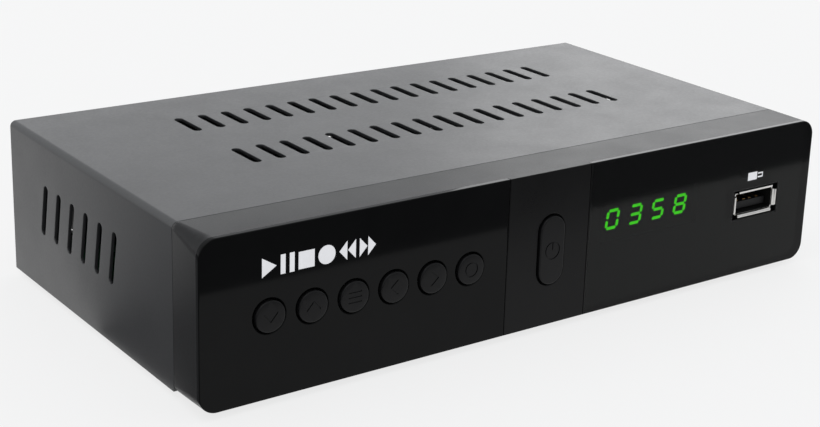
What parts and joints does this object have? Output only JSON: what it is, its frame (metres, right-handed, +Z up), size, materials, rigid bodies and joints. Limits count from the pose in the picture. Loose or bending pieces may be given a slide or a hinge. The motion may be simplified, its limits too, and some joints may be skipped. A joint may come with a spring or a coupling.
{
  "type": "dvr recorder",
  "caption": "Low black set-top recorder: slotted folded steel case, tapered moulded front with round keys, a tall power key, a green digit display, a USB socket and rear connectors.",
  "frame": {"origin": "middle of the footprint at the level of the feet's undersides, taken over the whole depth from the key faces to the aerial jacks' ends", "axes": "+Z up, front panel faces -Y, +X runs along the width, to the right seen from the front"},
  "size_m": [0.1704, 0.1018, 0.0379],
  "materials": {
    "cover_paint": "satin black powder coat",
    "chassis_paint": "satin black",
    "foot_rubber": "matte",
    "black_screw": "black oxide",
    "bezel_plastic": "satin moulded",
    "gloss_fascia": "polished",
    "satin_fascia": "satin",
    "smoked_lens": "polished, smoked",
    "key_plastic": "satin",
    "switch_plastic": "matte",
    "plunger_plastic": "matte",
    "board_green": "solder mask",
    "zinc_screw": "zinc plated",
    "display_grey": "matte",
    "lit_green": "lit",
    "unlit_grey": "unlit",
    "receiver_resin": "dark resin",
    "plated_steel": "nickel plated",
    "socket_plastic": "matte",
    "contact_gold": "gold plated",
    "ribbon_white": "matte",
    "header_cream": "matte",
    "standoff_steel": "zinc plated",
    "chip_black": "matte",
    "cooler_aluminium": "anodised",
    "capacitor_sleeve": "sleeved",
    "coil_ferrite": "matte",
    "tin_can": "tinned",
    "insulator_white": "matte",
    "coax_orange": "moulded"
  },
  "bodies": {
    "case": {"top_cover": "cover_paint", "base_chassis": "chassis_paint", "rubber_feet": "foot_rubber", "cover_screws": "black_screw", "bezel_frame": "bezel_plastic", "left_fascia": "gloss_fascia", "centre_fascia": "satin_fascia", "display_lens": "smoked_lens", "tact_switch_housings": "switch_plastic", "front_board": "board_green", "front_board_screws": "zinc_screw", "display_housing": "display_grey", "lit_segments": "lit_green", "unlit_segments": "unlit_grey", "infrared_receiver": "receiver_resin", "usb_shell": "plated_steel", "usb_tongue": "socket_plastic", "usb_contacts": "contact_gold", "ribbon_sockets": "header_cream", "front_ribbon": "ribbon_white", "main_board": "board_green", "board_standoffs": "standoff_steel", "board_screws": "zinc_screw", "processor": "chip_black", "processor_cooler": "cooler_aluminium", "memory_chips": "chip_black", "firmware_chip": "chip_black", "capacitors": "capacitor_sleeve", "power_coils": "coil_ferrite", "tuner_can": "tin_can", "aerial_input_jack": "plated_steel", "aerial_loop_jack": "plated_steel", "jack_insulators": "insulator_white", "jack_nuts": "plated_steel", "coax_sleeve": "plated_steel", "coax_insulator": "coax_orange", "coax_mount": "socket_plastic", "hdmi_shell": "plated_steel", "hdmi_tongue": "socket_plastic", "scart_shell": "socket_plastic", "scart_block": "socket_plastic", "dc_housing": "socket_plastic", "dc_pin": "plated_steel"},
    "key_down_body": {"key_down": "key_plastic", "plunger_down": "plunger_plastic"},
    "key_up_body": {"key_up": "key_plastic", "plunger_up": "plunger_plastic"},
    "key_menu_body": {"key_menu": "key_plastic", "plunger_menu": "plunger_plastic"},
    "key_left_body": {"key_left": "key_plastic", "plunger_left": "plunger_plastic"},
    "key_right_body": {"key_right": "key_plastic", "plunger_right": "plunger_plastic"},
    "key_enter_body": {"key_enter": "key_plastic", "plunger_enter": "plunger_plastic"},
    "power_key_body": {"power_key": "key_plastic", "plunger_power": "plunger_plastic"}
  },
  "joints": [
    {"name": "key_down_press", "type": "slide", "parent": "case", "child": "key_down_body", "axis": [0, 1, 0], "range_m": [0, 0.0003], "stiffness_N_per_m": 3000, "springref_m": -0.0001},
    {"name": "key_up_press", "type": "slide", "parent": "case", "child": "key_up_body", "axis": [0, 1, 0], "range_m": [0, 0.0003], "stiffness_N_per_m": 3000, "springref_m": -0.0001},
    {"name": "key_menu_press", "type": "slide", "parent": "case", "child": "key_menu_body", "axis": [0, 1, 0], "range_m": [0, 0.0003], "stiffness_N_per_m": 3000, "springref_m": -0.0001},
    {"name": "key_left_press", "type": "slide", "parent": "case", "child": "key_left_body", "axis": [0, 1, 0], "range_m": [0, 0.0003], "stiffness_N_per_m": 3000, "springref_m": -0.0001},
    {"name": "key_right_press", "type": "slide", "parent": "case", "child": "key_right_body", "axis": [0, 1, 0], "range_m": [0, 0.0003], "stiffness_N_per_m": 3000, "springref_m": -0.0001},
    {"name": "key_enter_press", "type": "slide", "parent": "case", "child": "key_enter_body", "axis": [0, 1, 0], "range_m": [0, 0.0003], "stiffness_N_per_m": 3000, "springref_m": -0.0001},
    {"name": "power_key_press", "type": "slide", "parent": "case", "child": "power_key_body", "axis": [0, 1, 0], "range_m": [0, 0.0003], "stiffness_N_per_m": 3000, "springref_m": -0.0001}
  ]
}
